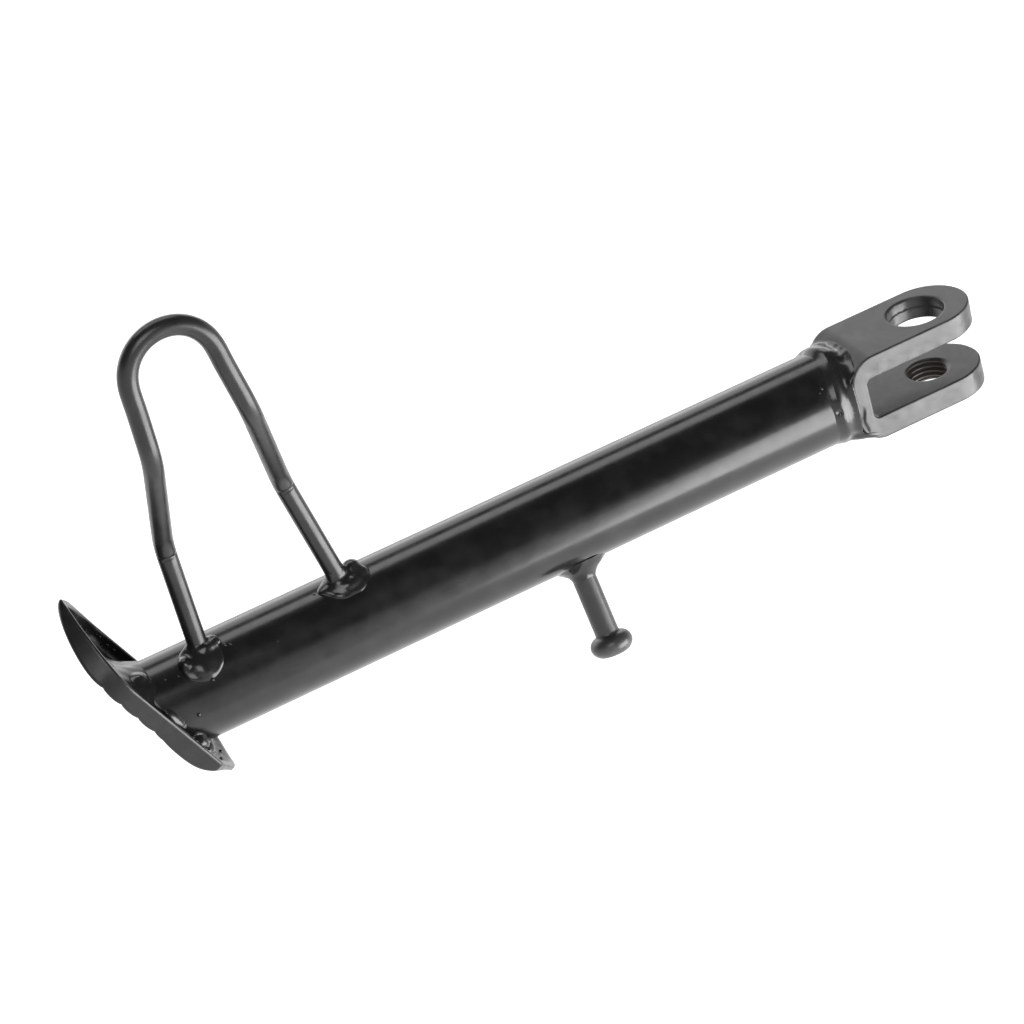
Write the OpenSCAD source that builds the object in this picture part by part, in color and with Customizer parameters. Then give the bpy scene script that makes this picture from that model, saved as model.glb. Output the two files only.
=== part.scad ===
// Welded side stand for a small motorcycle or scooter.
// A round leg tube carries a U-shaped pivot fork at one end and a pressed foot at the other.
// A bent-rod toe loop and a headed spring peg are welded to the tube between them.
// +X runs along the tube from the foot to the fork, +Z along the pivot axis towards the toe loop.
// The origin is the middle of the plain pivot bore, in the ear on the toe-loop side.

/* [Leg tube] */
// Outside diameter of the leg tube
tube_od = 26.5; // [25:0.1:28]
// Wall thickness of the leg tube
tube_wall = 2.3; // [2:0.1:3.2]
// Distance from the pivot axis to the foot rim, along the tube axis
leg_reach = 230.7; // [200:0.1:260]

/* [Pivot fork] */
// Thickness of the bent strap
strap_t = 6.65; // [6:0.05:7]
// Thickness of the web, thinned where the tube meets it
web_t = 4.6; // [4:0.1:6]
// Clear gap between the ears, for the frame lug
fork_gap = 12.2; // [11:0.1:14]
// Width of the strap
fork_w = 24.8; // [23:0.1:26]
// Distance from the pivot axis to the outer face of the web
fork_back = 28.7; // [27:0.1:31]
// Distance from the pivot axis to the centre of the round ear ends
ear_lead = 2.9; // [0:0.1:4]
// Outside radius of the strap's two bends
bend_out_r = 7.5; // [7:0.5:10]
// Inside radius of the strap's two bends
bend_in_r = 1.5; // [0.5:0.25:2.5]
// Diameter of the plain pivot bore
bore_d = 16; // [14:0.5:17]
// Tapping diameter of the threaded pivot hole, M12 x 1.5
thread_minor_d = 10.5; // [10.3:0.1:10.8]
// Diameter of the countersink at each mouth of the threaded hole
thread_mouth_d = 12.2; // [12:0.1:13]

/* [Toe loop] */
// Diameter of the loop rod
rod_d = 5.3; // [5:0.1:7]
// Distance from the pivot axis to the middle of the loop
loop_back = 198.5; // [180:0.1:205]
// Offset of the loop from the tube axis, along Y
loop_y = -2.5; // [-4:0.1:4]
// Spacing of the loop's legs where they meet the tube
loop_span = 40.5; // [36:0.1:46]
// Inward slope of each leg, in degrees
leg_taper = 5.5; // [3:0.1:7]
// Lean of the whole loop towards the foot, in degrees
loop_lean = 3.7; // [0:0.1:6]
// Length of the lower straight of each leg
lower_len = 33.2; // [25:0.1:36]
// Length of the slanted middle of each leg
joggle_len = 40.7; // [30:0.1:44]
// Slant of the middle, in degrees
joggle_angle = 31.6; // [20:0.1:36]
// Length of the upper straight of each leg
upper_len = 15; // [10:0.1:20]
// Centre-line radius of the bends at both ends of the slanted middle
loop_bend_r = 8; // [6:0.5:12]

/* [Spring peg] */
// Distance from the pivot axis to the peg
peg_back = 115; // [90:0.5:150]
// Turn of the peg from straight below the tube towards -Y, in degrees
peg_turn = 22; // [0:1:40]
// Diameter of the peg's shaft
peg_d = 6.4; // [5:0.1:8]
// Distance from the tube axis to the end of the peg's head
peg_reach = 39.4; // [34:0.1:46]
// Diameter of the peg's head
peg_head_d = 12; // [10:0.2:14]
// Thickness of the peg's head
peg_head_t = 6; // [3:0.2:6]

/* [Foot plate] */
// Turn of the foot from square to the tube, in degrees
foot_tilt = 25; // [15:1:35]
// Roll of the foot about its own length, in degrees
foot_roll = 1.3; // [0:0.1:6]
// Reach of the pointed outer end from the tube axis
foot_outer = 44.1; // [40:0.1:50]
// Reach of the blunt inner end from the tube axis
foot_inner = 27; // [25:0.1:32]
// Width across the foot's rim
foot_w = 38.4; // [36:0.1:42]
// Depth of the foot from its rim to its sole
foot_depth = 5.3; // [4.5:0.1:7]
// Thickness of the pressed sheet
sheet_t = 2; // [1.5:0.25:2.5]
// Rise of the outer point above the rim
tip_rise = 3.2; // [1:0.1:5]
// Spacing of the grooves across the sole
groove_pitch = 6.2; // [6:0.05:7]
// Depth of the grooves across the sole
groove_depth = 0.5; // [0.2:0.05:0.9]

/* [Weld beads] */
// Height of the ring bead over the tube at the fork
fork_bead_h = 1.4; // [0.8:0.1:2.5]
// Radius of the bead around each leg of the loop
loop_bead_r = 6.2; // [4.5:0.1:7]
// Radius of the bead around the spring peg
peg_bead_r = 7.1; // [5:0.1:8]
// Width of the beads around the tube at the foot
foot_bead_w = 3.4; // [2:0.1:4]

/* [Hidden] */
$fn = 96;

tube_r = tube_od / 2;
rod_r = rod_d / 2;
peg_r = peg_d / 2;
fork_half = fork_gap / 2 + strap_t;
ear_mid = fork_gap / 2 + strap_t / 2;
ear_r = fork_w / 2;
edge_break = 0.3;
paint = "#1b1b1d";
bead_paint = "#2b2b2e";
beyond = 60; // longer than anything it cuts through
weld_seam = 1; // half the gap between the two runs of weld at one joint

// The fork's bore is the origin, so the tube axis lies below it.
module on_tube_axis() translate([0, 0, -ear_mid]) children();

// Foot frame: X to the outer point, Y to the camera side, Z up from the rim along the leg.
module in_foot() translate([-leg_reach, 0, 0]) rotate([0, 90 - foot_tilt, 0])
    rotate([0, 0, 180]) rotate([-foot_roll, 0, 0]) children();

// Loop frame: X across the legs, Z up from the tube's crown.
module in_loop() translate([-loop_back, loop_y, tube_r - 0.2]) rotate([0, -loop_lean, 0]) children();

// Peg frame: Z out of the tube along the peg.
module in_peg() translate([-peg_back, 0, 0]) rotate([180 - peg_turn, 0, 0]) children();

module tube_core(r) translate([-leg_reach - tube_od, 0, 0]) rotate([0, 90, 0])
    cylinder(r = r, h = leg_reach + tube_od - fork_back);

// ---- leg tube ----

foot_floor = sheet_t - foot_depth;

module below_floor() in_foot() translate([-beyond, -beyond, foot_floor - beyond])
    cube([2 * beyond, 2 * beyond, beyond]);

module leg_tube() color(paint) on_tube_axis() difference() {
    tube_core(tube_r);
    tube_core(tube_r - tube_wall);
    below_floor();
}

// ---- pivot fork ----

// Side outline of the strap: two ears joined by a web, in the X-Z plane.
module strap_outline() difference() {
    union() {
        translate([-fork_back + bend_out_r, -fork_half]) square([beyond, 2 * fork_half]);
        translate([-fork_back, -fork_half + bend_out_r])
            square([bend_out_r + 1, 2 * (fork_half - bend_out_r)]);
        for (s = [-1, 1]) translate([-fork_back + bend_out_r, s * (fork_half - bend_out_r)])
            circle(r = bend_out_r);
    }
    translate([-fork_back + web_t + bend_in_r, -fork_gap / 2]) square([beyond, fork_gap]);
    translate([-fork_back + web_t, -fork_gap / 2 + bend_in_r])
        square([bend_in_r + 1, fork_gap - 2 * bend_in_r]);
    for (s = [-1, 1]) translate([-fork_back + web_t + bend_in_r, s * (fork_gap / 2 - bend_in_r)])
        circle(r = bend_in_r);
}

module fork_body() intersection() {
    rotate([90, 0, 0]) translate([0, 0, -fork_w]) linear_extrude(2 * fork_w) strap_outline();
    translate([0, 0, -fork_half - 1]) linear_extrude(2 * fork_half + 2) {
        translate([-fork_back - 1, -ear_r]) square([fork_back + 1 + ear_lead, fork_w]);
        translate([ear_lead, 0]) circle(r = ear_r);
    }
}

mouth_depth = (thread_mouth_d - thread_minor_d) / 2;

module pivot_holes() {
    cylinder(d = bore_d, h = fork_half + 1);
    translate([0, 0, fork_half - edge_break])
        cylinder(d1 = bore_d, d2 = bore_d + 4 * edge_break, h = 2 * edge_break);
    translate([0, 0, -fork_half - 1]) cylinder(d = thread_minor_d, h = fork_half + 1);
    for (z = [-fork_half, -fork_gap / 2]) translate([0, 0, z]) for (s = [0, 1]) mirror([0, 0, s])
        cylinder(d1 = thread_mouth_d, d2 = thread_minor_d, h = mouth_depth);
}

module pivot_fork() color(paint) on_tube_axis() difference() {
    fork_body();
    pivot_holes();
}

// ---- beads between the tube and the fork ----

fork_bead_x = [-35.2, -26];
fork_bead_root = 3;
fork_bead_clear = 0.5;

// A ring of weld over the tube's end and the fork's bends.
module fork_bead() difference() {
    translate([(fork_bead_x[0] + fork_bead_x[1]) / 2, 0, 0]) rotate([0, 90, 0]) rotate_extrude()
        intersection() {
            translate([tube_r - fork_bead_root, 0])
                scale([fork_bead_h + fork_bead_root, (fork_bead_x[1] - fork_bead_x[0]) / 2]) circle(r = 1);
            translate([tube_r - fork_bead_root - 1, -beyond]) square([beyond, 2 * beyond]);
        }
    tube_core(tube_r);
    fork_body();
    translate([-fork_back + fork_bead_clear, -beyond, -fork_gap / 2 - 1])
        cube([beyond, 2 * beyond, fork_gap + 2]);
}

module fork_weld_upper() color(bead_paint) on_tube_axis() intersection() {
    fork_bead();
    translate([-beyond, -beyond, weld_seam - fork_bead_root]) cube([beyond, 2 * beyond, beyond]);
}

module fork_weld_lower() color(bead_paint) on_tube_axis() intersection() {
    fork_bead();
    translate([-beyond, -beyond, -fork_bead_root - beyond]) cube([beyond, 2 * beyond, beyond]);
}

// ---- toe loop ----

// One leg, rising from its foot, slanting to -Y and rising again, then half of the round crown.
dir_up = [sin(leg_taper), 0, cos(leg_taper)];
dir_out = [sin(leg_taper), -cos(leg_taper) * sin(joggle_angle), cos(leg_taper) * cos(joggle_angle)];
knee_turn = acos(dir_up * dir_out);
knee_cut = loop_bend_r * tan(knee_turn / 2);
leg_foot = [-loop_span / 2, 0, 0] - dir_up * 2;
knee_low = [-loop_span / 2, 0, 0] + dir_up * lower_len / cos(leg_taper);
knee_high = knee_low + dir_out * joggle_len / cos(leg_taper);
leg_top = knee_high + dir_up * upper_len / cos(leg_taper);
crown_r = -leg_top[0] / cos(leg_taper);
crown_centre = [0, leg_top[1], leg_top[2] + crown_r * sin(leg_taper)];
bend_steps = 5;
crown_steps = 10;
rod_sides = 16;

function unit(v) = v / norm(v);

// Stations of a bend of loop_bend_r at a knee, each a point and its heading.
function knee(at, a, b) = [for (i = [0 : bend_steps])
    let (turn = knee_turn * i / bend_steps, side = unit(b - a * (a * b)))
    [at - a * knee_cut + loop_bend_r * (a * sin(turn) + side * (1 - cos(turn))),
     a * cos(turn) + side * sin(turn)]];

half_loop = concat([[leg_foot, dir_up]], knee(knee_low, dir_up, dir_out), knee(knee_high, dir_out, dir_up),
    [for (i = [0 : crown_steps]) let (turn = 180 + leg_taper - (90 + leg_taper) * i / crown_steps)
        [crown_centre + crown_r * [cos(turn), 0, sin(turn)], [sin(turn), 0, -cos(turn)]]]);

// The other half is the mirror image, run backwards.
loop_stations = concat(half_loop, [for (i = [len(half_loop) - 2 : -1 : 0]) let (s = half_loop[i])
    [[-s[0][0], s[0][1], s[0][2]], [s[1][0], -s[1][1], -s[1][2]]]]);

function rod_ring(s) = let (n = unit([0, 1, 0] - s[1] * s[1][1]), b = cross(s[1], n))
    [for (k = [0 : rod_sides - 1]) let (a = 360 * k / rod_sides) s[0] + rod_r * (n * cos(a) + b * sin(a))];

module loop_rod() in_loop() polyhedron(
    points = [for (s = loop_stations) each rod_ring(s)],
    faces = concat(
        [[for (k = [0 : rod_sides - 1]) k]],
        [for (i = [0 : len(loop_stations) - 2], k = [0 : rod_sides - 1]) let (
            p = i * rod_sides, q = p + rod_sides, m = (k + 1) % rod_sides)
            each [[p + k, q + k, q + m], [p + k, q + m, p + m]]],
        [[for (k = [rod_sides - 1 : -1 : 0]) (len(loop_stations) - 1) * rod_sides + k]]),
    convexity = 6);

module toe_loop() color(paint) on_tube_axis() difference() {
    loop_rod();
    tube_core(tube_r);
}

// ---- beads around the loop's legs ----

// A leg's own frame, Z along its lower straight; side = -1 at the foot end and 1 at the fork end.
module in_leg(side) in_loop() translate([side * loop_span / 2, 0, 0]) rotate([0, -side * leg_taper, 0])
    children();

loop_bead_h = 4.6;
loop_bead_sink = 1;

// A low dome of weld around one leg, raised or lowered to the tube's crown.
module loop_bead(side) difference() {
    in_leg(side) translate([0, 0, -side * loop_span / 2 * tan(loop_lean)]) rotate_extrude() intersection() {
        translate([0, -loop_bead_sink]) scale([loop_bead_r, loop_bead_h]) circle(r = 1);
        translate([0, -beyond]) square([beyond, 2 * beyond]);
    }
    tube_core(tube_r);
    in_leg(side) translate([0, 0, -tube_r]) cylinder(r = rod_r, h = beyond);
}

module toe_loop_weld_foot() color(bead_paint) on_tube_axis() loop_bead(-1);

module toe_loop_weld_fork() color(bead_paint) on_tube_axis() loop_bead(1);

// ---- spring peg ----

module spring_peg() color(paint) on_tube_axis() difference() {
    in_peg() union() {
        cylinder(r = peg_r, h = peg_reach - 1);
        translate([0, 0, peg_reach - peg_head_t / 2]) rotate_extrude() {
            square([peg_head_d / 2 - peg_head_t / 2, peg_head_t / 2]);
            translate([0, -peg_head_t / 2]) square([peg_head_d / 2 - peg_head_t / 2, peg_head_t / 2]);
            intersection() {
                translate([peg_head_d / 2 - peg_head_t / 2, 0]) circle(r = peg_head_t / 2);
                translate([0, -peg_head_t]) square([peg_head_d, 2 * peg_head_t]);
            }
        }
    }
    tube_core(tube_r);
}

peg_bead_h = 5;
peg_bead_sink = 1.5;
peg_bead_lip = 0.3;

module spring_peg_weld() color(bead_paint) on_tube_axis() difference() {
    in_peg() translate([0, 0, tube_r - peg_bead_sink])
        cylinder(r1 = peg_bead_r, r2 = peg_r + peg_bead_lip, h = peg_bead_h);
    tube_core(tube_r);
    in_peg() cylinder(r = peg_r, h = peg_reach);
}

// ---- foot plate ----

point_len = 24;
blunt_len = 14.5;
blunt_share = 0.115;
blunt_shift = 2.6;
rim_drop = 0.9;
tip_t = 0.8;
sole_rise_outer = foot_depth + tip_rise - tip_t;
sole_rise_inner = 3;
belly_depth = 0.9;
belly_at = -4.5;
belly_half = 9;
groove_count = 4;
groove_last = 26.9;
outline_step = groove_pitch / 8;
tip_cut = 0.3;
cut_high = 30;
cut_low = 20;
sweep_turn = 30.8;
sweep_tip = 6.7;
sweep_reach = 23.6;
sweep_along = 9.9;
sweep_low = 0.55;
sweep_drop = 5;
sweep_len = 4.2;
sweep_fall = 0.07;
sweep_end = 61.6;
sweep_high = 1.9;
sweep_steep = 2.17;
sweep_step = 0.8;
slope_share = 1.2; // vertical share of the sheet's thickness where the underside slopes

// How far along an end a station lies, from 0 at its start to 1 at its tip.
function outer_t(u) = max(0, (u - foot_outer + point_len) / point_len);
function inner_t(u) = max(0, (-foot_inner + blunt_len - u) / blunt_len);

// Outline in plan: half the width, and the middle, which drifts away from +Y at the blunt end.
function half_width(u) = foot_w / 2 * (1 - pow(outer_t(u), 2))
    * (blunt_share + (1 - blunt_share) * pow(1 - pow(inner_t(u), 1.5), 0.75));
function middle(u) = -blunt_shift * pow(inner_t(u), 0.4);

// Heights of the rim and the sole, with rounded grooves across the sole.
function rim_z(u) = tip_rise * pow(outer_t(u), 1.7) - rim_drop * inner_t(u);
function groove_z(u) = abs(u - groove_last + groove_pitch * (groove_count - 1) / 2)
    > groove_pitch * groove_count / 2 ? 0
    : groove_depth * (1 - sqrt(abs(sin(180 * (u - groove_last) / groove_pitch))));
function belly_z(u) = belly_depth * max(0, 1 - pow((u - belly_at) / belly_half, 2));
function sole_z(u) = -foot_depth + sole_rise_outer * pow(outer_t(u), 4.2)
    + sole_rise_inner * pow(inner_t(u), 1.3) - belly_z(u);

stations = [for (u = [-foot_inner : outline_step : foot_outer - tip_cut]) u];
back_stations = [for (i = [len(stations) - 1 : -1 : 0]) stations[i]];

// Plan outline of the foot, inset from its rim.
module foot_plan(inset) translate([0, 0, -cut_low]) linear_extrude(cut_low + cut_high) polygon(concat(
    [for (u = stations) if (half_width(u) > inset + tip_cut) [u, middle(u) + half_width(u) - inset]],
    [for (u = back_stations) if (half_width(u) > inset + tip_cut) [u, middle(u) - half_width(u) + inset]]));

// The space between a lower line and an upper line, drawn in the foot's X-Z plane.
module foot_side(lower, upper) rotate([90, 0, 0]) translate([0, 0, -foot_w])
    linear_extrude(2 * foot_w) polygon(concat(lower, upper));

// The underside also sweeps up along a line turned from the foot's own length, most at the blunt corner
// on the +Y side; i runs along that line. This is the space above the sweep, raised by lift.
function sweep_blunt(i) = -sweep_low - sweep_fall * i - sweep_drop * (1 - exp(-pow(i / sweep_len, 1.5)));
function sweep_point(j) = sweep_high - sweep_steep * sqrt(j);
function sweep_z(i) = max(sweep_blunt(max(0, i)), sweep_point(max(0, sweep_end - i)));
module above_sweep(lift) rotate([0, 0, -sweep_turn]) translate([-sweep_reach, sweep_along, lift])
    rotate([90 + sweep_tip, 0, 0]) translate([0, 0, -beyond]) linear_extrude(2 * beyond) polygon(concat(
        [for (i = [-sheet_t : sweep_step : sweep_end + sheet_t]) [i, sweep_z(i)]],
        [[sweep_end + sheet_t, beyond], [-sheet_t, beyond]]));

module foot_plate() color(paint) on_tube_axis() in_foot() difference() {
    intersection() {
        foot_plan(0);
        foot_side([for (u = stations) [u, sole_z(u) + groove_z(u)]],
            [for (u = back_stations) [u, rim_z(u)]]);
        above_sweep(0);
    }
    intersection() {
        foot_plan(sheet_t);
        foot_side([for (u = stations) [u, max(sole_z(u), -foot_depth) + sheet_t]],
            [[foot_outer, cut_high], [-foot_inner, cut_high]]);
        above_sweep(sheet_t * slope_share);
    }
}

// ---- beads between the tube and the foot ----

bead_top = 1.5;

// A sloped collar of weld around the tube's foot, on the floor of the pressing.
module foot_bead() difference() {
    intersection() {
        tube_core(tube_r + foot_bead_w);
        in_foot() translate([-beyond / 2, -beyond / 2, foot_floor])
            cube([beyond, beyond, bead_top - foot_floor]);
    }
    tube_core(tube_r);
}

module foot_weld_outer() color(bead_paint) on_tube_axis() intersection() {
    foot_bead();
    in_foot() translate([-weld_seam, -beyond, -beyond]) cube([beyond, 2 * beyond, 2 * beyond]);
}

module foot_weld_inner() color(bead_paint) on_tube_axis() intersection() {
    foot_bead();
    in_foot() translate([-2 * weld_seam - beyond, -beyond, -beyond])
        cube([beyond, 2 * beyond, 2 * beyond]);
}

leg_tube();
pivot_fork();
fork_weld_upper();
fork_weld_lower();
toe_loop();
toe_loop_weld_foot();
toe_loop_weld_fork();
spring_peg();
spring_peg_weld();
foot_plate();
foot_weld_outer();
foot_weld_inner();
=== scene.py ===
import math
import bpy
import numpy as np
from mathutils import Matrix


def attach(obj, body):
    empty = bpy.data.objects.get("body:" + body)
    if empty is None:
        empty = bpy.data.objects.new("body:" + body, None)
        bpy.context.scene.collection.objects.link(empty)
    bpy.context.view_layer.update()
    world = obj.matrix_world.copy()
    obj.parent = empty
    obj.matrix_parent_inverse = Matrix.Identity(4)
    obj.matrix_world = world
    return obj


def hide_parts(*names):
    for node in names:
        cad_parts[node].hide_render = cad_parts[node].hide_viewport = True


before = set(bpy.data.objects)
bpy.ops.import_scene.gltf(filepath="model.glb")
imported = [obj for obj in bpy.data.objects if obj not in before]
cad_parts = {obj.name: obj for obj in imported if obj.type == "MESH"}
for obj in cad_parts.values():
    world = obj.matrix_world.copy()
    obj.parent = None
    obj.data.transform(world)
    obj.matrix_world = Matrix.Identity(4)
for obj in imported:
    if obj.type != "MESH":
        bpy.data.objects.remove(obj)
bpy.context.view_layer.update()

# ---------------------------------------------------------------- sizes, in millimetres
EAR_T, GAP = 6.65, 12.2
MID = (GAP + EAR_T) / 2            # the tube's axis lies this far below the origin
TUBE_R, TUBE_WALL = 13.25, 2.3
LEG = 230.7                        # pivot axis to the foot's rim, along the tube
FORK_BACK, WEB_T, FORK_HALF_W, EAR_LEAD = 28.7, 4.6, 12.4, 2.9
FORK_HALF = GAP / 2 + EAR_T
BORE_R, THREAD_R = 8.0, 6.11
ROD_R, PEG_R = 2.65, 3.2
PEG_X, PEG_TURN, PEG_END = -115.0, 22.0, 39.4
TILT, ROLL = 25.0, 1.3
TO_ROW = np.array([0.0, 0.0, -MID])


# ---------------------------------------------------------------- meshes from implicit shapes
def length(*a):
    return np.sqrt(sum(v * v for v in a))


def smin(a, b, k):
    h = np.clip(0.5 + 0.5 * (b - a) / k, 0, 1)
    return b + (a - b) * h - k * h * (1 - h)


def rmax(a, b, r):
    """Intersection whose convex edge is rounded with radius r."""
    return np.minimum(np.maximum(a, b), -r) + length(np.maximum(a + r, 0), np.maximum(b + r, 0))


def wave(x, y, z, size, seed=0.0):
    """Smooth wandering value, about -1 to 1."""
    k = 2 * math.pi / size
    return (np.sin(k * (x + 0.37 * y) + seed) * np.cos(k * (0.83 * y - 0.45 * z) + 1.7 * seed)
            + np.sin(k * (0.61 * z + 0.5 * x) * 1.7 + 2.3 * seed) * 0.6) / 1.3


def quads_from(field, lo, hi, h):
    """Surface nets: one vertex in each cell the surface crosses, moved onto the surface."""
    lo = np.array(lo, float)
    n = np.ceil((np.array(hi, float) - lo) / h).astype(int) + 1
    grid = np.meshgrid(*[lo[i] + h * np.arange(n[i]) for i in range(3)], indexing="ij")
    f = field(*grid)
    inside = f < 0
    cells = tuple(n - 1)

    def corner(a, o):
        return a[o[0]:n[0] - 1 + o[0], o[1]:n[1] - 1 + o[1], o[2]:n[2] - 1 + o[2]]

    acc = np.zeros(cells + (3,))
    count = np.zeros(cells)
    for a in range(3):
        b, c = (a + 1) % 3, (a + 2) % 3
        for ob in (0, 1):
            for oc in (0, 1):
                o0 = [0, 0, 0]
                o0[b], o0[c] = ob, oc
                o1 = list(o0)
                o1[a] = 1
                f0, f1 = corner(f, o0), corner(f, o1)
                m = corner(inside, o0) != corner(inside, o1)
                acc[..., a] += np.where(m, f0 / np.where(m, f0 - f1, 1.0), 0)
                acc[..., b] += ob * m
                acc[..., c] += oc * m
                count += m
    on = count > 0
    index = np.full(cells, -1)
    index[on] = np.arange(on.sum())
    verts = lo + h * (np.argwhere(on) + acc[on] / count[on][:, None])
    faces = []
    for a in range(3):
        b, c = (a + 1) % 3, (a + 2) % 3
        s0 = [slice(None)] * 3
        s1 = [slice(None)] * 3
        s0[a], s1[a] = slice(0, n[a] - 1), slice(1, n[a])
        i0, i1 = inside[tuple(s0)], inside[tuple(s1)]
        cross = np.argwhere(i0 != i1)
        within = (cross[:, b] > 0) & (cross[:, c] > 0) & (cross[:, b] < n[b] - 1) & (cross[:, c] < n[c] - 1)
        cross = cross[within]
        flip = i0[tuple(cross.T)]
        ring = []
        for ob, oc in ((1, 1), (0, 1), (0, 0), (1, 0)):
            q = cross.copy()
            q[:, b] -= ob
            q[:, c] -= oc
            ring.append(index[tuple(q.T)])
        ring = np.array(ring).T
        faces.append(np.where(flip[:, None], ring, ring[:, ::-1]))
    faces = np.concatenate(faces)
    eps = 0.02
    for _ in range(3):
        d = field(*verts.T)
        rise = [field(*(verts + eps * e).T) - field(*(verts - eps * e).T) for e in np.eye(3)]
        g = np.array(rise).T / (2 * eps)
        step = d / np.maximum((g * g).sum(1), 0.05)
        verts = verts - g * np.clip(step, -0.5 * h, 0.5 * h)[:, None]
    return verts, faces


def piece(name, verts, faces, material, nodes=(), smooth=True):
    """A mesh object from millimetre points in the row frame, riding on the one body."""
    mesh = bpy.data.meshes.new(name)
    verts = np.asarray(verts, np.float32) * 0.001
    if isinstance(faces, np.ndarray):
        sides = faces.shape[1]
        mesh.vertices.add(len(verts))
        mesh.vertices.foreach_set("co", verts.ravel())
        mesh.loops.add(faces.size)
        mesh.loops.foreach_set("vertex_index", faces.ravel().astype(np.int32))
        mesh.polygons.add(len(faces))
        mesh.polygons.foreach_set("loop_start", np.arange(0, faces.size, sides, dtype=np.int32))
        mesh.update(calc_edges=True)
    else:
        mesh.from_pydata(verts.tolist(), [], faces)
        mesh.update()
    mesh.validate()
    mesh.polygons.foreach_set("use_smooth", np.full(len(mesh.polygons), smooth))
    obj = bpy.data.objects.new(name, mesh)
    bpy.context.scene.collection.objects.link(obj)
    mesh.materials.append(material)
    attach(obj, "root")
    if nodes:
        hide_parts(*nodes)
    return obj


def grid_faces(rows, cols, wrap_rows=False, wrap_cols=True):
    i = np.arange(rows if wrap_rows else rows - 1)
    j = np.arange(cols if wrap_cols else cols - 1)
    i, j = np.meshgrid(i, j, indexing="ij")
    i1, j1 = (i + 1) % rows, (j + 1) % cols
    return np.stack([i * cols + j, i * cols + j1, i1 * cols + j1, i1 * cols + j], -1).reshape(-1, 4)


# ---------------------------------------------------------------- paints
def paint(name, base, rough, rough_vary=0.05, peel=0.02, dust=0.25, tint=(1, 1, 1), grain=9.0, painted_sheen=0.0):
    """Black coat: orange-peel and fine bump, cloudy gloss, a little pale dust; the last argument lightens the
    pale clouds with painted sheen.
    """
    m = bpy.data.materials.new(name)
    m.use_nodes = True
    nt = m.node_tree
    n, l = nt.nodes, nt.links
    b = n["Principled BSDF"]
    co = n.new("ShaderNodeTexCoord").outputs["Object"]

    def noise(scale, detail=3.0):
        t = n.new("ShaderNodeTexNoise")
        t.inputs["Scale"].default_value = scale
        t.inputs["Detail"].default_value = detail
        l.new(co, t.inputs["Vector"])
        return t.outputs["Fac"]

    def ramp(src, lo, hi, a, c):
        r = n.new("ShaderNodeMapRange")
        r.inputs["From Min"].default_value = lo
        r.inputs["From Max"].default_value = hi
        r.inputs["To Min"].default_value = a
        r.inputs["To Max"].default_value = c
        l.new(src, r.inputs["Value"])
        return r.outputs["Result"]

    cloud = noise(140.0)
    speck = noise(2600.0, 1.0)
    mix = n.new("ShaderNodeMix")
    mix.data_type = "RGBA"
    mix.inputs["A"].default_value = (base * tint[0], base * tint[1], base * tint[2], 1)
    # pale clouds: dust, plus painted sheen from the last argument
    pale = base * 2.2 + 0.012 + painted_sheen
    mix.inputs["B"].default_value = (pale * 1.02, pale, pale * 0.97, 1)
    l.new(ramp(cloud, 0.42, 0.75, 0.0, 0.5), mix.inputs["Factor"])
    fleck = n.new("ShaderNodeMix")
    fleck.data_type = "RGBA"
    l.new(mix.outputs["Result"], fleck.inputs["A"])
    fleck.inputs["B"].default_value = (0.16, 0.155, 0.15, 1)
    l.new(ramp(speck, 0.74, 0.80, 0.0, dust), fleck.inputs["Factor"])
    l.new(fleck.outputs["Result"], b.inputs["Base Color"])
    l.new(ramp(noise(260.0), 0.3, 0.7, rough - rough_vary, rough + rough_vary), b.inputs["Roughness"])
    b.inputs["IOR"].default_value = 1.5
    h1 = n.new("ShaderNodeBump")
    h1.inputs["Strength"].default_value = 0.5
    h1.inputs["Distance"].default_value = peel * 0.001
    l.new(noise(520.0, 2.0), h1.inputs["Height"])
    h2 = n.new("ShaderNodeBump")
    h2.inputs["Strength"].default_value = 0.35
    h2.inputs["Distance"].default_value = peel * 0.0005
    l.new(noise(520.0 * grain, 2.0), h2.inputs["Height"])
    l.new(h1.outputs["Normal"], h2.inputs["Normal"])
    l.new(h2.outputs["Normal"], b.inputs["Normal"])
    return m


tube_paint = paint("tube_paint", 0.0045, 0.21, 0.03, peel=0.012, dust=0.10)
rod_paint = paint("rod_paint", 0.007, 0.30, 0.04, peel=0.025, dust=0.10)
# the fork's raised base colour and lightened clouds are painted light: the same black coat, brightened for
# the reflections its flat faces catch
fork_paint = paint("fork_paint", 0.022, 0.34, 0.05, peel=0.03, dust=0.10, painted_sheen=0.015)
foot_paint = paint("foot_paint", 0.003, 0.31, 0.05, peel=0.03, dust=0.15)
weld_paint = paint("weld_paint", 0.008, 0.20, 0.06, peel=0.05, dust=0.10)
# the peg's raised base colour is painted light: the same black coat, brightened for the peg's lit look
peg_paint = paint("peg_paint", 0.03, 0.33, 0.05, peel=0.03, dust=0.12)
thread_paint = paint("thread_paint", 0.03, 0.35, 0.08, peel=0.03, dust=0.1, tint=(1.25, 1.0, 0.8))


# ---------------------------------------------------------------- fields in the tube's frame
def step(v, a, b):
    t = np.clip((v - a) / (b - a), 0, 1)
    return t * t * (3 - 2 * t)


def strap_side(x, z):
    outer = rmax(-FORK_BACK - x, np.abs(z) - FORK_HALF, 7.5)
    slot = rmax(-FORK_BACK + WEB_T - x, np.abs(z) - GAP / 2, 1.6)
    return outer, slot


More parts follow.
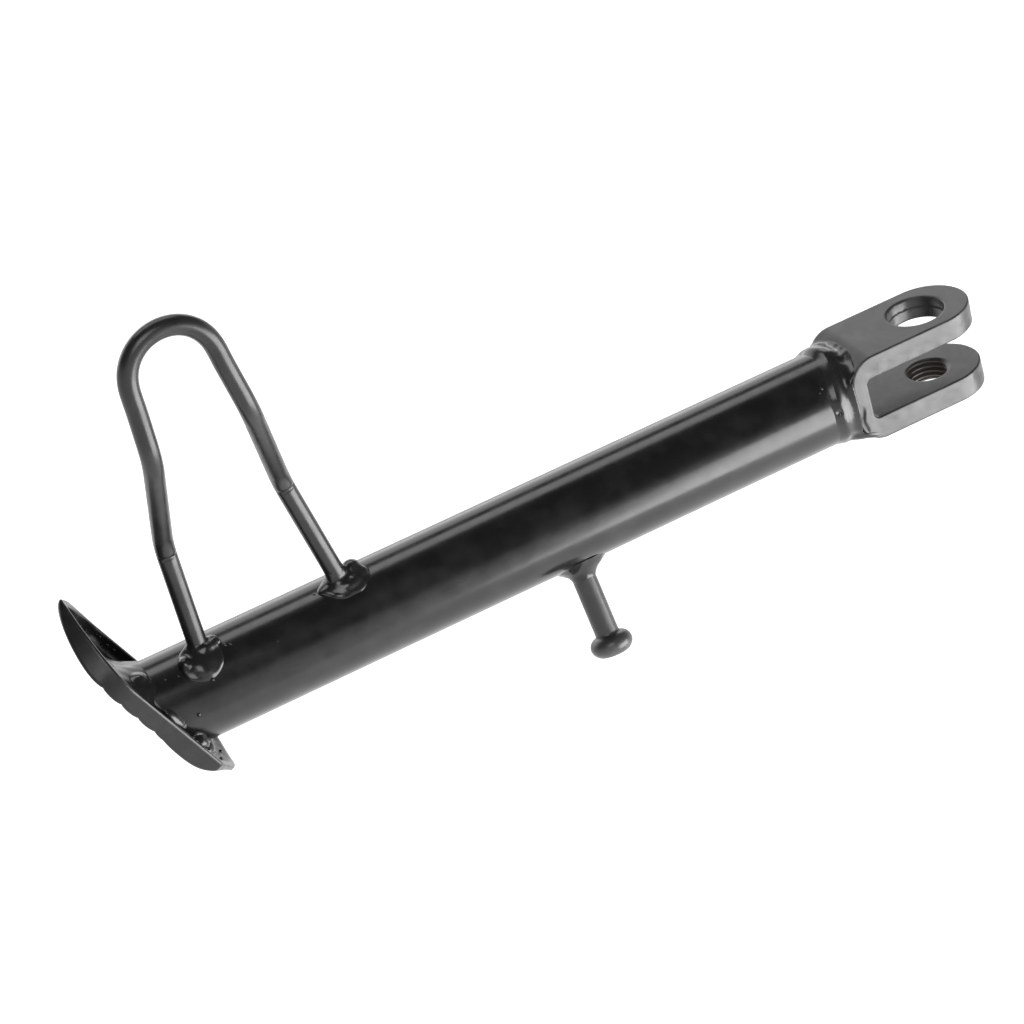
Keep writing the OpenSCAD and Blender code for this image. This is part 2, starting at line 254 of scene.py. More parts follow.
def strap_field(x, y, z):
    """Bent strap with blanked edges: a clean shear band, then a slightly torn, lower one."""
    outer, slot = strap_side(x, z)
    torn = step(-outer, 2.2, 4.5) * (0.08 + 0.04 * wave(x, y, z, 5.0, 0.7))
    plan = length(np.maximum(x - EAR_LEAD, 0), y) - FORK_HALF_W + 0.01 + torn
    crease = np.exp(-((x + 27.3 + 0.35 * np.sin(0.9 * z)) / 0.32) ** 2)
    crease = crease * step(-y, 11.0, 11.8) * step(-z, 0.5, 3.0)
    plan = plan + 0.55 * crease * step(z, -9.5, -7.5)
    return rmax(rmax(outer, plan, 0.4), -slot, 0.4)


def fork_field(x, y, z):
    """Strap with its two holes; the plain one has a small ledge inside."""
    r = length(x, y)
    ledge = np.where(z > 9.6, 0.05, -0.12)
    bore = rmax(r - BORE_R - ledge, -z, 0.1)
    thread = rmax(r - THREAD_R - 0.02, z, 0.1)
    return rmax(rmax(strap_field(x, y, z), -bore, 0.5), -thread, 0.2)


def fork_bead_field(x, y, z):
    """Weld between the tube's end and the strap: a smooth roll at the sides, rippled and flush on top."""
    outer, slot = strap_side(x, z)
    strap = rmax(outer, np.abs(y) - FORK_HALF_W, 1.0)
    t = length(length(y, z) - TUBE_R + 2.0, np.maximum(x + FORK_BACK, 0)) - 2.0
    t = np.where(x > -FORK_BACK, t, length(y, z) - TUBE_R)
    phi = np.arctan2(z, -y)
    top = np.exp(-((phi - 1.57) / 0.75) ** 2)
    under = np.exp(-((phi + 1.57) / 0.6) ** 2)
    lip = x + 33.3 - 2.6 * top - 1.8 * under + 0.35 * np.sin(phi * 3.1 + 0.6)
    swell = (0.95 - 0.45 * top - 0.75 * under) * np.exp(-(lip / 1.7) ** 2) - 0.10
    swell = swell + 0.75 * np.exp(-((phi - 2.0) / 0.5) ** 2 - ((x + 29.6) / 2.6) ** 2)
    fade = 0.05 * np.maximum(-lip - 1.9, 0) ** 2
    crescent = (phi * TUBE_R - 0.12 * (x + 28.0) ** 2) / 3.2
    ripple = 0.02 * top * np.cos(2 * math.pi * crescent) * step(x, -32.5, -28.5)
    body = smin(t, strap, 4.2) - swell + fade - ripple + 0.10 * wave(x, y, z, 9.0, 1.3) * (1 - 0.5 * top)
    roll = (length((x + 27.5) / 4.2, (y + 3.0) / 7.5, (z + 10.4) / 2.2) - 1) * 2.2
    body = smin(body, roll, 1.8)
    pit = 0.7 - length(x + 34.7, y + 13.9, z - 1.6)
    body = rmax(body, pit, 0.5)
    clear = -28.4 + 6.0 * step(np.abs(z), 8.0, 11.0) + 6.0 * step(-np.abs(y), -11.0, -8.0)
    body = rmax(body, x - clear, 0.5)
    body = np.maximum(body, np.abs(x + 30.0) - 6.5)
    return np.maximum(body, -(slot + 0.05))


# ---------------------------------------------------------------- pivot fork
v, f = quads_from(fork_field, (-30, -13.6, -14), (16.4, 13.6, 14), 0.3)
piece("fork_strap", v + TO_ROW, f, fork_paint, ["pivot_fork"])


def thread_mesh():
    """Turns of the thread as a closed sleeve, opened at both mouths to the countersink."""
    pitch, root_r, depth, mouth_r, sleeve_r = 1.5, 5.30, 0.72, 6.09, 6.6
    levels = -FORK_HALF + 0.12 + np.arange(0, 6.40, 0.06)
    angles = np.arange(72) * 2 * math.pi / 72
    z, a = np.meshgrid(levels, angles, indexing="ij")
    saw = np.abs(((z / pitch - a / (2 * math.pi)) % 1.0) - 0.5) * 2
    mouth = np.clip(1.1 - np.minimum(z + FORK_HALF, -GAP / 2 - z) / 0.75, 0, 1)
    r = (root_r + depth * np.clip(saw * 1.25 - 0.1, 0, 1)) * (1 - mouth) + mouth_r * mouth
    inner = np.stack([r * np.cos(a), r * np.sin(a), z], -1).reshape(-1, 3)
    outer = np.stack([sleeve_r * np.cos(a), sleeve_r * np.sin(a), z], -1).reshape(-1, 3)
    rows, cols = z.shape
    inside = grid_faces(rows, cols)
    outside = inside[:, ::-1] + rows * cols
    here = np.arange(cols)
    after = (here + 1) % cols
    last = (rows - 1) * cols
    low_end = np.stack([after, here, here + rows * cols, after + rows * cols], -1)
    high_end = last + np.stack([here, after, after + rows * cols, here + rows * cols], -1)
    faces = np.concatenate([inside, outside, low_end, high_end])
    return np.concatenate([inner, outer]), faces[:, ::-1]


v, f = thread_mesh()
piece("thread_turns", v + TO_ROW, f, thread_paint)

# ---------------------------------------------------------------- welds at the fork
def fork_run_field(low, high):
    """The part of the fork's weld between two heights; the two runs overlap a little."""
    return lambda x, y, z: np.maximum(np.maximum(fork_bead_field(x, y, z), low - z), z - high)


for name, node, low, high in (("fork_bead_high", "fork_weld_upper", -3.0, 16.0),
                              ("fork_bead_low", "fork_weld_lower", -16.0, -1.4)):
    v, f = quads_from(fork_run_field(low, high), (-37.5, -16.5, low - 0.6), (-22.5, 16.5, high + 0.6), 0.32)
    piece(name, v + TO_ROW, f, weld_paint, [node])


# ---------------------------------------------------------------- leg tube
def foot_axes():
    """Foot's own axes as columns: u towards its point, w towards the camera side, h out of its open side."""
    tip = Matrix.Rotation(math.radians(90 - TILT), 3, "Y")
    roll = Matrix.Rotation(math.radians(-ROLL), 3, "X")
    return np.array(tip @ Matrix.Rotation(math.pi, 3, "Z") @ roll)


FOOT = foot_axes()
FOOT_AT = np.array([-LEG, 0.0, 0.0])


def from_foot(p):
    return p @ FOOT.T + FOOT_AT


def to_foot(x, y, z):
    p = np.stack([x + LEG, y, z], 0)
    return np.tensordot(FOOT.T, p, 1)


def pipe_mesh():
    """Tube wall from its slanted end in the foot to the fork's web, very slightly out of round."""
    sides, rows = 192, 60
    angles = np.arange(sides) * 2 * math.pi / sides
    normal = FOOT[:, 2]
    shells = []
    for radius in (TUBE_R, TUBE_R - TUBE_WALL):
        y, z = radius * np.cos(angles), radius * np.sin(angles)
        start = (-3.3 - normal[1] * y - normal[2] * z) / normal[0] - LEG
        shell = []
        for s in np.linspace(0, 1, rows):
            x = start * (1 - s) + (-FORK_BACK + 0.2) * s
            swell = 1 + 0.0006 * np.sin(x / 17.0 + angles * 2) if radius == TUBE_R else 1
            shell.append(np.stack([x, y * swell, z * swell], -1))
        shells.append(np.array(shell))
    outer, inner = shells
    verts = np.concatenate([outer.reshape(-1, 3), inner[::-1].reshape(-1, 3)])
    return verts, grid_faces(2 * rows, sides, wrap_rows=True)


v, f = pipe_mesh()
piece("leg_pipe", v + TO_ROW, f, tube_paint, ["leg_tube"])

# ---------------------------------------------------------------- toe loop
LOOP = dict(at=-198.31, y=-2.52, span=40.85, taper=math.radians(5.8), lean=math.radians(-4.37),
            h1=32.61, h2=67.89, slant=math.radians(28.77), top=84.65, bend=19.0,
            yaw=math.radians(0.98), shear=math.radians(1.17))


def loop_path():
    """Points along the rod's middle line and their heights along the legs.

    The outline is drawn flat, then its joggle is bent out of plane, then the whole is turned into place.
    """
    q = LOOP
    t = math.tan(q["taper"])
    r = (q["span"] / 2 - q["top"] * t) / math.cos(q["taper"])
    hc = q["top"] + r * math.sin(q["taper"])
    left = [(-(q["span"] / 2 - h * t), h) for h in np.linspace(-3, q["top"], 170)]
    sweep = np.linspace(math.pi + q["taper"], -q["taper"], 90)[1:-1]
    arc = [(r * math.cos(a), hc + r * math.sin(a)) for a in sweep]
    flat = np.array(left + arc + [(-u, h) for u, h in left[::-1]])
    run_len = np.r_[0, np.cumsum(np.linalg.norm(np.diff(flat, axis=0), axis=1))]
    even = np.linspace(0, run_len[-1], 520)
    flat = np.stack([np.interp(even, run_len, flat[:, 0]), np.interp(even, run_len, flat[:, 1])], -1)
    reach = int(6.0 / (even[1] - even[0]))
    w = np.exp(-np.linspace(-2.2, 2.2, 2 * reach + 1) ** 2 / 1.4)
    ease = [np.convolve(np.pad(flat[:, c], reach, "edge"), w / w.sum(), "valid") for c in (0, 1)]
    ease = np.stack(ease, -1)
    high = step(flat[:, 1], q["top"] - 14, q["top"] - 7)[:, None]
    flat = flat * (1 - high) + ease * high
    flat[:, 1] += 0.55 * high[:, 0] * step(flat[:, 1], q["top"], q["top"] + 12)
    flat[:, 0] += q["shear"] * np.maximum(flat[:, 1] - q["h1"], 0)
    hs = np.linspace(-4, hc + r + 1, 1200)
    run = q["bend"] * q["slant"]
    out_bend, back_bend = [np.clip((hs - q[k] + run / 2) / run, 0, 1) for k in ("h1", "h2")]
    a = q["slant"] * (out_bend - back_bend)
    am = (a[1:] + a[:-1]) / 2
    zz = np.r_[0, np.cumsum(np.cos(am) * np.diff(hs))] + hs[0]
    yy = np.r_[0, np.cumsum(-np.sin(am) * np.diff(hs))]
    p = np.stack([flat[:, 0], np.interp(flat[:, 1], hs, yy), np.interp(flat[:, 1], hs, zz)], -1)
    c, s = math.cos(q["yaw"]), math.sin(q["yaw"])
    p = np.stack([p[:, 0] * c - p[:, 1] * s, p[:, 0] * s + p[:, 1] * c, p[:, 2]], -1)
    c, s = math.cos(q["lean"]), math.sin(q["lean"])
    placed = [q["at"] + p[:, 0] * c + p[:, 2] * s, q["y"] + p[:, 1], TUBE_R - 0.2 - p[:, 0] * s + p[:, 2] * c]
    return np.stack(placed, -1), flat[:, 1]


path, heights = loop_path()
tang = np.gradient(path, axis=0)
tang /= np.linalg.norm(tang, axis=1)[:, None]


def rod_mesh():
    """Round rod along the path, with the bender's nick and a short flat below it on each leg."""
    side = np.array([0.0, 1.0, 0.0]) - tang * tang[:, 1:2]
    side /= np.linalg.norm(side, axis=1)[:, None]
    third = np.cross(tang, side)
    sides = 48
    a = np.arange(sides) * 2 * math.pi / sides
    ring = side[:, None, :] * np.cos(a)[None, :, None] + third[:, None, :] * np.sin(a)[None, :, None]
    second_half = np.arange(len(path)) > len(path) // 2
    mark = np.zeros(len(path))
    for end, level, deep in ((0, 30.2, 0.42), (1, 31.2, 0.5)):
        nick = np.exp(-((heights - level) / 0.55) ** 2)
        flat = step(heights, level - 3.2, level - 0.2) * step(-heights, -level - 0.2, -level + 0.2)
        mark += (deep * nick + 0.14 * flat) * (second_half == end)
    toward = np.clip(-ring[..., 1], 0, 1) ** 1.5
    verts = (path[:, None, :] + ring * (ROD_R - mark[:, None] * toward)[..., None]).reshape(-1, 3)
    last = (len(path) - 1) * sides
    faces = grid_faces(len(path), sides).tolist()
    faces += [list(range(sides))[::-1], [last + i for i in range(sides)]]
    return verts, [q[::-1] for q in faces]


v, f = rod_mesh()
piece("loop_rod", v + TO_ROW, f, rod_paint, ["toe_loop"])

# ---------------------------------------------------------------- welds at the loop's legs
def leg_line(side_sign):
    """Where a leg meets the tube, and its direction there: -1 is the leg at the foot's end."""
    i = np.argmin(np.abs(heights[: len(heights) // 2])) if side_sign < 0 else \
        len(heights) - 1 - np.argmin(np.abs(heights[::-1][: len(heights) // 2]))
    d = tang[i] if side_sign < 0 else -tang[i]
    return path[i], d


def blob(x, y, z, at, size):
    """Rounded lump: centre and half-sizes along X, Y and Z."""
    return (length((x - at[0]) / size[0], (y - at[1]) / size[1], (z - at[2]) / size[2]) - 1) * min(size)


def loop_bead_field(side_sign, centre, spread, lumps):
    """Weld round one leg: centre is x and angle on the tube, spread its half-sizes and height."""
    at, d = leg_line(side_sign)

    def field(x, y, z):
        px, py, pz = x - at[0], y - at[1], z - at[2]
        along = px * d[0] + py * d[1] + pz * d[2]
        rod = length(px - along * d[0], py - along * d[1], pz - along * d[2]) - ROD_R
        tube = length(y, z) - TUBE_R
        arc = (np.arctan2(z, -y) - math.radians(centre[1])) * TUBE_R
        q = length((x - centre[0]) / spread[0], arc / spread[1])
        b = smin(tube + 0.25 + 0.5 * np.maximum(q - 0.9, 0) * 4, rod + 0.30 * np.maximum(along - 2.8, 0), 4.4)
        mound = length((x - centre[0]) / spread[0], arc / spread[1], (tube + 1.2) / spread[2])
        mound = (mound - 1) * spread[2]
        b = smin(b, mound, 1.6)
        for place, size in lumps:
            b = smin(b, blob(x, y, z, place, size), 1.0)
        toe = 0.13 * np.exp(-((q - 1.0) / 0.10) ** 2) * (0.5 + 0.5 * wave(x, y, z, 6.5, 2.6))
        b = b - toe + 0.08 * wave(x, y, z, 5.0, 0.4)
        return np.maximum(np.maximum(b, (q - 1.32) * 3.0), along - 6.0)
    return field, at


LOOP_WELDS = (
    (-1, "loop_bead_foot_end", "toe_loop_weld_foot", (-219.9, 60.0), (5.6, 5.6, 2.9),
     [((-223.9, -6.0, 11.9), (1.5, 1.7, 1.6)),
      ((-214.6, -3.0, 13.0), (2.6, 2.3, 1.7)),
      ((-217.2, -5.6, 13.3), (1.8, 1.3, 1.5))]),
    (1, "loop_bead_fork_end", "toe_loop_weld_fork", (-176.6, 76.0), (6.4, 5.0, 2.6),
     [((-172.2, -2.6, 13.2), (2.2, 2.0, 1.5)),
      ((-173.5, -1.0, 14.5), (2.5, 2.5, 2.2)),
      ((-182.0, -3.2, 12.9), (2.6, 1.5, 0.7)),
      ((-176.0, -5.2, 12.9), (2.2, 1.5, 1.2))]))
for end, name, node, centre, spread, lumps in LOOP_WELDS:
    field, at = loop_bead_field(end, centre, spread, lumps)
    v, f = quads_from(field, at + [-9.5, -11.5, -6.5], at + [9.5, 7.5, 7.0], 0.3)
    piece(name, v + TO_ROW, f, weld_paint, [node])

# ---------------------------------------------------------------- spring peg
turn = math.radians(PEG_TURN)
PEG_D = np.array([0.0, -math.sin(turn), -math.cos(turn)])


def peg_coords(x, y, z):
    """Offset in x, distance along the peg from the tube's axis, distance from the peg's axis."""
    px = x - PEG_X
    along = y * PEG_D[1] + z * PEG_D[2]
    return px, along, length(px, y - along * PEG_D[1], z - along * PEG_D[2])


def peg_field(x, y, z):
    """Shank and fully rounded head, its end slightly domed."""
    px, along, rho = peg_coords(x, y, z)
    shaft = np.maximum(np.maximum(rho - PEG_R - 0.12, along - PEG_END + 2.0), 9.0 - along)
    head = length(np.maximum(rho - 3.2, 0), along - PEG_END + 3.0) - 2.75
    dome = rmax(rho - 4.6, np.abs(along - PEG_END + 2.3) - 2.05, 1.4)
    return smin(shaft, smin(head, dome, 0.8), 0.7)


v, f = quads_from(peg_field, (PEG_X - 7, -21.5, -41), (PEG_X + 7, 4, -7.5), 0.28)
piece("peg_shaft", v + TO_ROW, f, peg_paint, ["spring_peg"])


def peg_bead_field(x, y, z):
    """Fillet round the peg, drawn out along the tube to both sides."""
    px, along, rho = peg_coords(x, y, z)
    b = smin(length(y, z) - TUBE_R + 0.15, rho - PEG_R, 5.6)
    b = smin(b, blob(px, rho, along, (5.2, 0.0, TUBE_R + 0.3), (3.2, 4.5, 1.7)), 2.6)
    b = smin(b, blob(px, rho, along, (-5.6, 0.0, TUBE_R + 0.1), (2.8, 4.0, 1.6)), 1.8)
    b = b + 0.3 * np.maximum(length(px - 0.5, np.maximum(rho - np.abs(px), 0)) - 6.6, 0) ** 1.5
    b = b + 0.14 * np.maximum(along - 16.6, 0) ** 2 - 0.06 + 0.05 * wave(x, y, z, 5.0, 2.0)
    return np.maximum(np.maximum(b, rho - 8.9), 10.0 - along)


v, f = quads_from(peg_bead_field, (PEG_X - 9.2, -16, -21.5), (PEG_X + 9.2, 8, -8.5), 0.3)
piece("peg_bead", v + TO_ROW, f, weld_paint, ["spring_peg_weld"])

# ---------------------------------------------------------------- foot plate
OUT, IN, WIDE, DEEP, RISE = 44.1, 27.0, 38.4, 5.3, 3.2
PITCH, GROOVE, LAST, SHEET = 6.2, 0.55, 26.9, 2.0


def outer_t(u):
    """0 at the plate's straight middle, 1 at its point."""
    return np.clip((u - OUT + 24) / 24, 0, 1)


def inner_t(u):
    """0 at the plate's straight middle, 1 at its blunt inner end."""
    return np.clip((14.5 - IN - u) / 14.5, 0, 1)


def near_edge(u):
    """Half-width of the plan on the camera side."""
    blunt = np.interp(u, [-27.0, -26.6, -25.2, -22.7, -18.3, -15.5, -12.9],
                      [0.0, 2.4, 5.0, 8.6, 13.4, 16.6, 19.2])
    return np.where(u > -12.9, WIDE / 2 * (1 - outer_t(u) ** 2), blunt)


def far_edge(u):
    """Half-width of the plan on the far side, which keeps a squarer corner."""
    blunt = np.interp(u, [-27.0, -26.6, -26.0, -25.0, -22.5, -18.3, -12.9],
                      [2.4, 5.2, 8.0, 12.0, 15.5, 17.8, 19.55])
    return np.where(u > -12.9, (WIDE / 2 + 0.35) * (1 - outer_t(u) ** 2.1), blunt)


def rim_z(u, y=0.0):
    """Height of the rim: it rises to the point, dips at the blunt end and stands higher on the far side."""
    return RISE * outer_t(u) ** 1.7 - 0.9 * inner_t(u) + 0.5 * step(-y, 2.0, 12.0)


def sole_z(u):
    """Height of the sole along the plate, deepest under the tube."""
    belly = 0.75 * np.maximum(0, 1 - ((u + 4.5) / 9) ** 2)
    return -DEEP + (DEEP + RISE - 0.8) * outer_t(u) ** 4.2 + 3.0 * inner_t(u) ** 1.3 - belly


def sweep_z(u, y):
    """Underside where it sweeps up towards the blunt corner and the point."""
    i = 23.6 + 0.859 * u - 0.512 * y
    blunt = -0.55 - 0.07 * i - 5.0 * (1 - np.exp(-(np.maximum(i, 0) / 4.2) ** 1.5))
    point = 1.9 - 2.17 * np.sqrt(np.maximum(61.6 - i, 0))
    return np.maximum(blunt, point) + 0.117 * (0.512 * u + 0.859 * y - 9.9)


def groove_z(u):
    """Depth of the sole's rounded ribs and sharp grooves."""
    w = GROOVE * (1 - np.sqrt(np.abs(np.sin(math.pi * (u - LAST) / PITCH))))
    return np.where((u > LAST - 3.5 * PITCH) & (u < LAST + 0.5 * PITCH), w, 0)


def plan_outline():
    u = np.concatenate([np.linspace(-IN, -12, 60), np.linspace(-11.5, 38, 90), np.linspace(38.3, OUT, 40)])
    near, far = np.stack([u, near_edge(u)], -1), np.stack([u, -far_edge(u)], -1)
    return np.concatenate([near, far[::-1]])


PLAN_STEP, PLAN_U, PLAN_Y = 0.25, 32, 24


def plan_distances(outline):
    """Signed distance to the outline, negative inside, on a regular grid."""
    grid_u, grid_y = np.arange(-PLAN_U, 49, PLAN_STEP), np.arange(-PLAN_Y, 24.01, PLAN_STEP)
    u, y = np.meshgrid(grid_u, grid_y, indexing="ij")
    best = np.full(u.shape, 1e9)
    odd = np.zeros(u.shape, bool)
    for (x0, y0), (x1, y1) in zip(outline, np.roll(outline, -1, axis=0)):
        ex, ey = x1 - x0, y1 - y0
        if ex * ex + ey * ey < 1e-12:
            continue
        t = np.clip(((u - x0) * ex + (y - y0) * ey) / (ex * ex + ey * ey), 0, 1)
        best = np.minimum(best, (u - x0 - t * ex) ** 2 + (y - y0 - t * ey) ** 2)
        if abs(ey) > 1e-12:
            odd ^= ((y0 > y) != (y1 > y)) & (u < x0 + (y - y0) * ex / ey)
    return np.where(odd, -1, 1) * np.sqrt(best)


plan_table = plan_distances(plan_outline())


def plan_field(u, y):
    """Distance to the plan's outline, read between the grid's points."""
    rows, cols = plan_table.shape
    fu = np.clip((u + PLAN_U) / PLAN_STEP, 0, rows - 1.001)
    fy = np.clip((y + PLAN_Y) / PLAN_STEP, 0, cols - 1.001)
    i, j = fu.astype(int), fy.astype(int)
    a, b = fu - i, fy - j
    low = plan_table[i, j] * (1 - a) + plan_table[i + 1, j] * a
    high = plan_table[i, j + 1] * (1 - a) + plan_table[i + 1, j + 1] * a
    return low * (1 - b) + high * b


def foot_field(u, y, z):
    """Pressed pan: plan, sole and rim with rounded edges, less the cavity a sheet's thickness inside."""
    plan = plan_field(u, y)
    sole, sweep = sole_z(u), sweep_z(u, y)
    bottom = -smin(-(sole + groove_z(u)), -sweep, 0.5)
    body = rmax(plan, (bottom - z) * 0.92, 0.6)
    body = rmax(body, (z - rim_z(u, y)) * 0.99, 0.6)
    floor = -smin(-np.maximum(sole, -DEEP) - SHEET, -sweep - 0.9, 1.2)
    cavity = rmax(plan + SHEET, (floor + 0.12 * wave(u, y, z, 6.0, 0.9) - z) * 0.95, 1.8)
    return rmax(body, -cavity, 0.6)


v, f = quads_from(foot_field, (-28.5, -20.8, -7.4), (45.4, 20.4, 4.4), 0.29)
piece("foot_pan", from_foot(v) + TO_ROW, f, foot_paint, ["foot_plate"])


# ---------------------------------------------------------------- welds at the foot
FOOT_LUMPS = (                     # place and half-sizes along u, w and h, then the blend
    ((13.6, 4.4, -0.4), (2.0, 2.3, 2.6), 0.9),
    ((3.2, 12.9, -0.4), (3.4, 1.5, 1.5), 0.9),
    ((-7.8, 12.0, -1.0), (2.6, 2.2, 2.4), 1.2),
    ((-13.5, 6.5, -2.0), (2.6, 3.4, 2.6), 1.6),
    ((-15.0, -2.5, -2.2), (2.4, 4.5, 2.3), 1.6))


def foot_bead_field(x, y, z):
    """Weld round the tube's foot: a broad ramp towards the point, thin at the sides, with a few lumps."""
    u, w, h = to_foot(x, y, z)
    t = length(y, z) - TUBE_R
    floor = h + 3.15
    b = smin(t, floor, 3.4) + 0.15
    ramp = smin(t + 0.1, h + 3.3, 10.5) + 0.35
    share = step(u, 7.5, 12.5) * step(-np.abs(w + 0.5), -12.5, -8.0)
    b = b * (1 - share) + ramp * share
    for place, size, blend in FOOT_LUMPS:
        b = smin(b, blob(u, w, h, place, size), blend)
    worn = np.maximum(t - 2.6, 0) ** 1.4 + np.maximum(floor - 4.2, 0) ** 1.4
    b = b + 0.28 * worn * (1 - share)
    b = b + 0.02 * np.maximum(floor - 6.5, 0) ** 2 + 0.12 * wave(x, y, z, 5.0, 3.0) * (1 - 0.6 * share)
    b = np.maximum(b, np.maximum(sole_z(u), sweep_z(u, w)) + 0.8 - h)
    return np.maximum(b, plan_field(u, w) + 1.0)


def foot_run_field(sign):
    """The part of the foot's weld on one side of the plate's middle."""
    return lambda x, y, z: np.maximum(foot_bead_field(x, y, z), -sign * to_foot(x, y, z)[0] - 0.1)


for name, node, sign in (("foot_bead_outer", "foot_weld_outer", 1),
                         ("foot_bead_inner", "foot_weld_inner", -1)):
    v, f = quads_from(foot_run_field(sign), (-250, -19, -24), (-208, 19, 30), 0.33)
    piece(name, v + TO_ROW, f, weld_paint, [node])


# ---------------------------------------------------------------- weld spatter
def beads(name, spots, material):
    """Small frozen drops of weld metal, each a squashed ball part sunk in the surface."""
    vs, fs = [], []
    m, n = 8, 14
    for cx, cy, cz, r, nx, ny, nz in spots:
        base = len(vs)
        centre = np.array([cx, cy, cz])
        nrm = np.array([nx, ny, nz], float)
        nrm /= np.linalg.norm(nrm)
        e1 = np.cross(nrm, [0.3, 0.9, 0.1])
        e1 /= np.linalg.norm(e1)
        e2 = np.cross(nrm, e1)
        vs.append(centre + nrm * r * 0.8)
        for i in range(1, m):
            t = math.pi * i / m
            for j in range(n):
                p = 2 * math.pi * j / n
                w = 1 + 0.08 * math.sin(2 * p + 5 * r)
                around = math.cos(p) * e1 + math.sin(p) * e2
                vs.append(centre + r * w * math.sin(t) * around + 0.8 * r * math.cos(t) * nrm)
        vs.append(centre - nrm * r * 0.8)
        bottom = len(vs) - 1
        last = base + 1 + (m - 2) * n
        for j in range(n):
            after = (j + 1) % n
            fs.append([base, base + 1 + j, base + 1 + after])
            for i in range(m - 2):
                a0 = base + 1 + i * n
                fs.append([a0 + j, a0 + n + j, a0 + n + after, a0 + after])
            fs.append([last + j, bottom, last + after])
    piece(name, np.array(vs) + TO_ROW, fs, material)


def on_tube(x, alpha, r):
    """A drop on the tube at angle alpha, measured from the camera side upwards."""
    a = math.radians(alpha)
    return (x, -TUBE_R * math.cos(a), TUBE_R * math.sin(a), r, 0, -math.cos(a), math.sin(a))


def in_pan(u, w, h, r):
    """A drop at a place in the foot's own axes."""
    p = from_foot(np.array([u, w, h]))
    n = FOOT[:, 2]
    return (p[0], p[1], p[2], r, n[0], n[1], n[2])


TUBE_DROPS = (                     # x, angle and radius
    (-226.2, 4, 0.55), (-219.4, 34, 0.55), (-220.6, 37, 0.35), (-226.9, 54, 0.35), (-212.5, 65, 0.5),
    (-211.2, 63, 0.4), (-230.3, 57, 0.3), (-185.6, 77, 0.35), (-36.6, 41, 0.5), (-37.6, 37, 0.3),
    (-200.0, 42, 0.25))
FLOOR_DROPS = (                    # u and w
    (33, -1.5), (30, 3.5), (27, 8.0), (25, -4.0), (22, -8.5), (19.5, 11.5), (28, -8.0), (-21, 4.0),
    (-19, -7.0), (-23.0, -2.0))


def pan_drops():
    """Drops thrown on the far wall, on the pan's floor and behind the near wall."""
    rng = np.random.default_rng(7)
    spots = []
    for u in np.linspace(13, 37, 22):
        w = -(far_edge(u) - SHEET) + rng.uniform(-0.1, 0.3)
        h = rng.uniform(-3.4, -0.8) + rim_z(u) * 0.6
        spots.append(in_pan(u, w, h, rng.uniform(0.22, 0.55)))
    for u, w in FLOOR_DROPS:
        h = max(-DEEP + SHEET, float(sole_z(u)) + SHEET)
        spots.append(in_pan(u, w, h, rng.uniform(0.35, 0.65)))
    for u in np.linspace(-6, 11, 9):
        at = u + rng.uniform(-0.6, 0.6)
        h = rng.uniform(-2.4, -0.8)
        spots.append(in_pan(at, 16.6, h, rng.uniform(0.2, 0.4)))
    return spots


beads("spatter_tube", [on_tube(*drop) for drop in TUBE_DROPS], weld_paint)
beads("spatter_pan", pan_drops(), weld_paint)

# ---------------------------------------------------------------- floor, light, camera
FLOOR_Z = -0.62
floor_mesh = bpy.data.meshes.new("studio_floor")
corners = [(-6, -6, FLOOR_Z), (6, -6, FLOOR_Z), (6, 6, FLOOR_Z), (-6, 6, FLOOR_Z)]
floor_mesh.from_pydata(corners, [], [(0, 1, 2, 3)])
floor = bpy.data.objects.new("studio_floor", floor_mesh)
bpy.context.scene.collection.objects.link(floor)
fm = bpy.data.materials.new("studio_floor")
fm.use_nodes = True
fb = fm.node_tree.nodes["Principled BSDF"]
fb.inputs["Base Color"].default_value = (0.6, 0.6, 0.6, 1)
fb.inputs["Roughness"].default_value = 0.9
fb.inputs["Emission Color"].default_value = (1, 1, 1, 1)
fb.inputs["Emission Strength"].default_value = 1.0
floor_mesh.materials.append(fm)

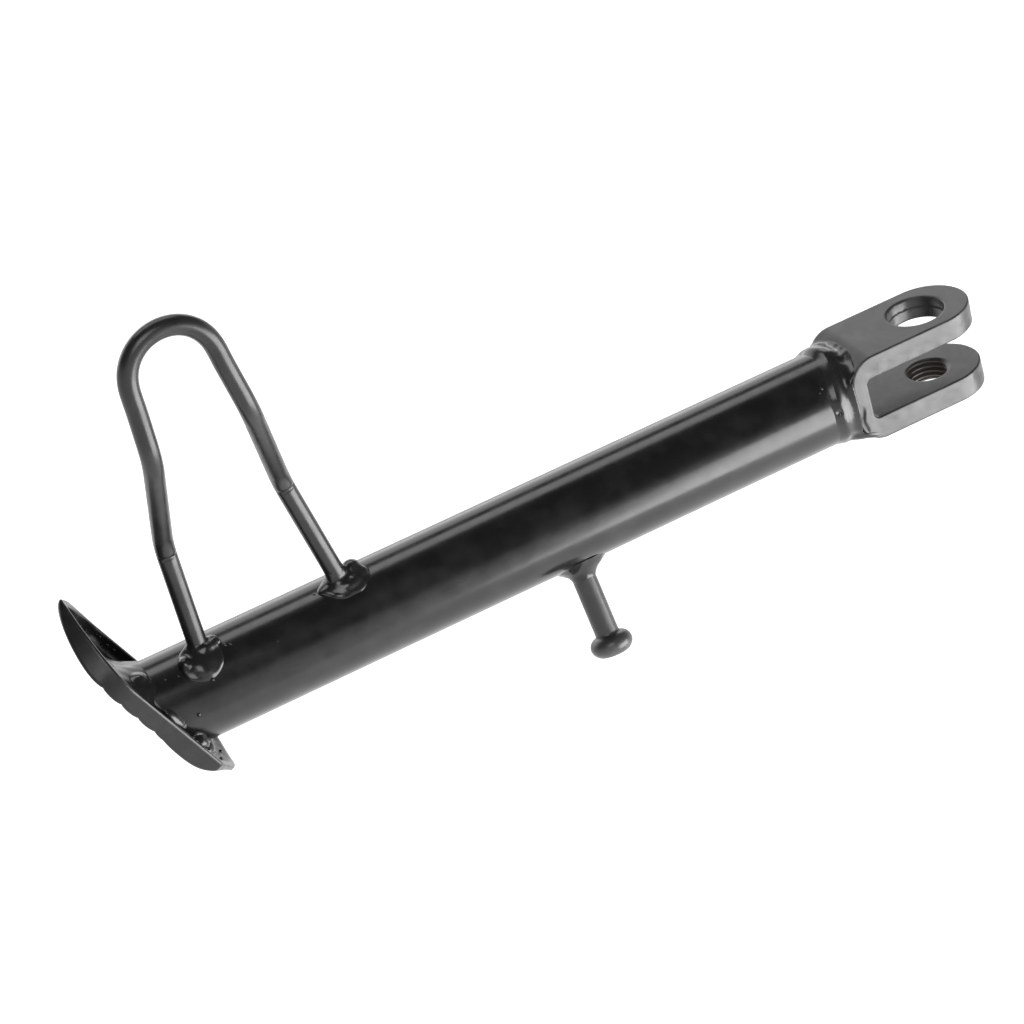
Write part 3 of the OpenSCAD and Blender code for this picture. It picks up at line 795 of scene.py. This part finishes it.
world = bpy.data.worlds.new("studio")
bpy.context.scene.world = world
world.use_nodes = True
wn, wl = world.node_tree.nodes, world.node_tree.links
back = wn["Background"]
tc = wn.new("ShaderNodeTexCoord")
sep = wn.new("ShaderNodeSeparateXYZ")
wl.new(tc.outputs["Generated"], sep.inputs["Vector"])
mr = wn.new("ShaderNodeMapRange")
mr.interpolation_type = "SMOOTHSTEP"
mr.inputs["From Min"].default_value = 0.05
mr.inputs["From Max"].default_value = 0.38
mr.inputs["To Min"].default_value = 1.0
mr.inputs["To Max"].default_value = 0.12
wl.new(sep.outputs["Z"], mr.inputs["Value"])
lp = wn.new("ShaderNodeLightPath")
mx = wn.new("ShaderNodeMix")
wl.new(lp.outputs["Is Camera Ray"], mx.inputs["Factor"])
wl.new(mr.outputs["Result"], mx.inputs["A"])
mx.inputs["B"].default_value = 1.0
wl.new(mx.outputs["Result"], back.inputs["Strength"])
back.inputs["Color"].default_value = (1, 1, 1, 1)


def softbox(name, az, el, dist, wide, high, radiance, at=(-0.11, 0.0, 0.0)):
    """A rectangular area light at the given direction and distance from the object, facing it."""
    a, e = math.radians(az), math.radians(el)
    d = np.array([math.cos(e) * math.cos(a), math.cos(e) * math.sin(a), math.sin(e)])
    light = bpy.data.lights.new(name, "AREA")
    light.shape = "RECTANGLE"
    light.size, light.size_y = wide, high
    light.energy = radiance * math.pi * wide * high
    o = bpy.data.objects.new(name, light)
    bpy.context.scene.collection.objects.link(o)
    z = d
    x = np.cross([0, 0, 1.0], z)
    x /= np.linalg.norm(x)
    y = np.cross(z, x)
    p = np.array(at) + d * dist
    o.matrix_world = Matrix([[x[i], y[i], z[i], p[i]] for i in range(3)] + [[0, 0, 0, 1]])


softbox("front_box", -45, -18, 0.95, 0.95, 0.66, 9.0)
softbox("left_box", -114, 38, 0.95, 0.42, 0.5, 4.0)
softbox("top_box", 90, 62, 1.2, 1.2, 0.42, 3.0)
softbox("back_box", 92, 19, 1.4, 2.6, 0.95, 1.6)

cam = bpy.data.cameras.new("camera")
cam.sensor_width = 36.0
cam.lens = 3000.0 / 1024.0 * cam.sensor_width
cam.clip_end = 100.0
cam_obj = bpy.data.objects.new("camera", cam)
bpy.context.scene.collection.objects.link(cam_obj)
right = (0.881272, -0.397823, -0.255140)
down = (-0.409037, -0.371602, -0.833427)
ahead = (0.236746, 0.838838, -0.490207)
eye = (-0.3161298, -0.6697997, 0.390647)
cam_obj.matrix_world = Matrix([[right[i], -down[i], -ahead[i], eye[i]] for i in range(3)] + [[0, 0, 0, 1]])
bpy.context.scene.camera = cam_obj
bpy.context.scene.view_settings.view_transform = "Standard"
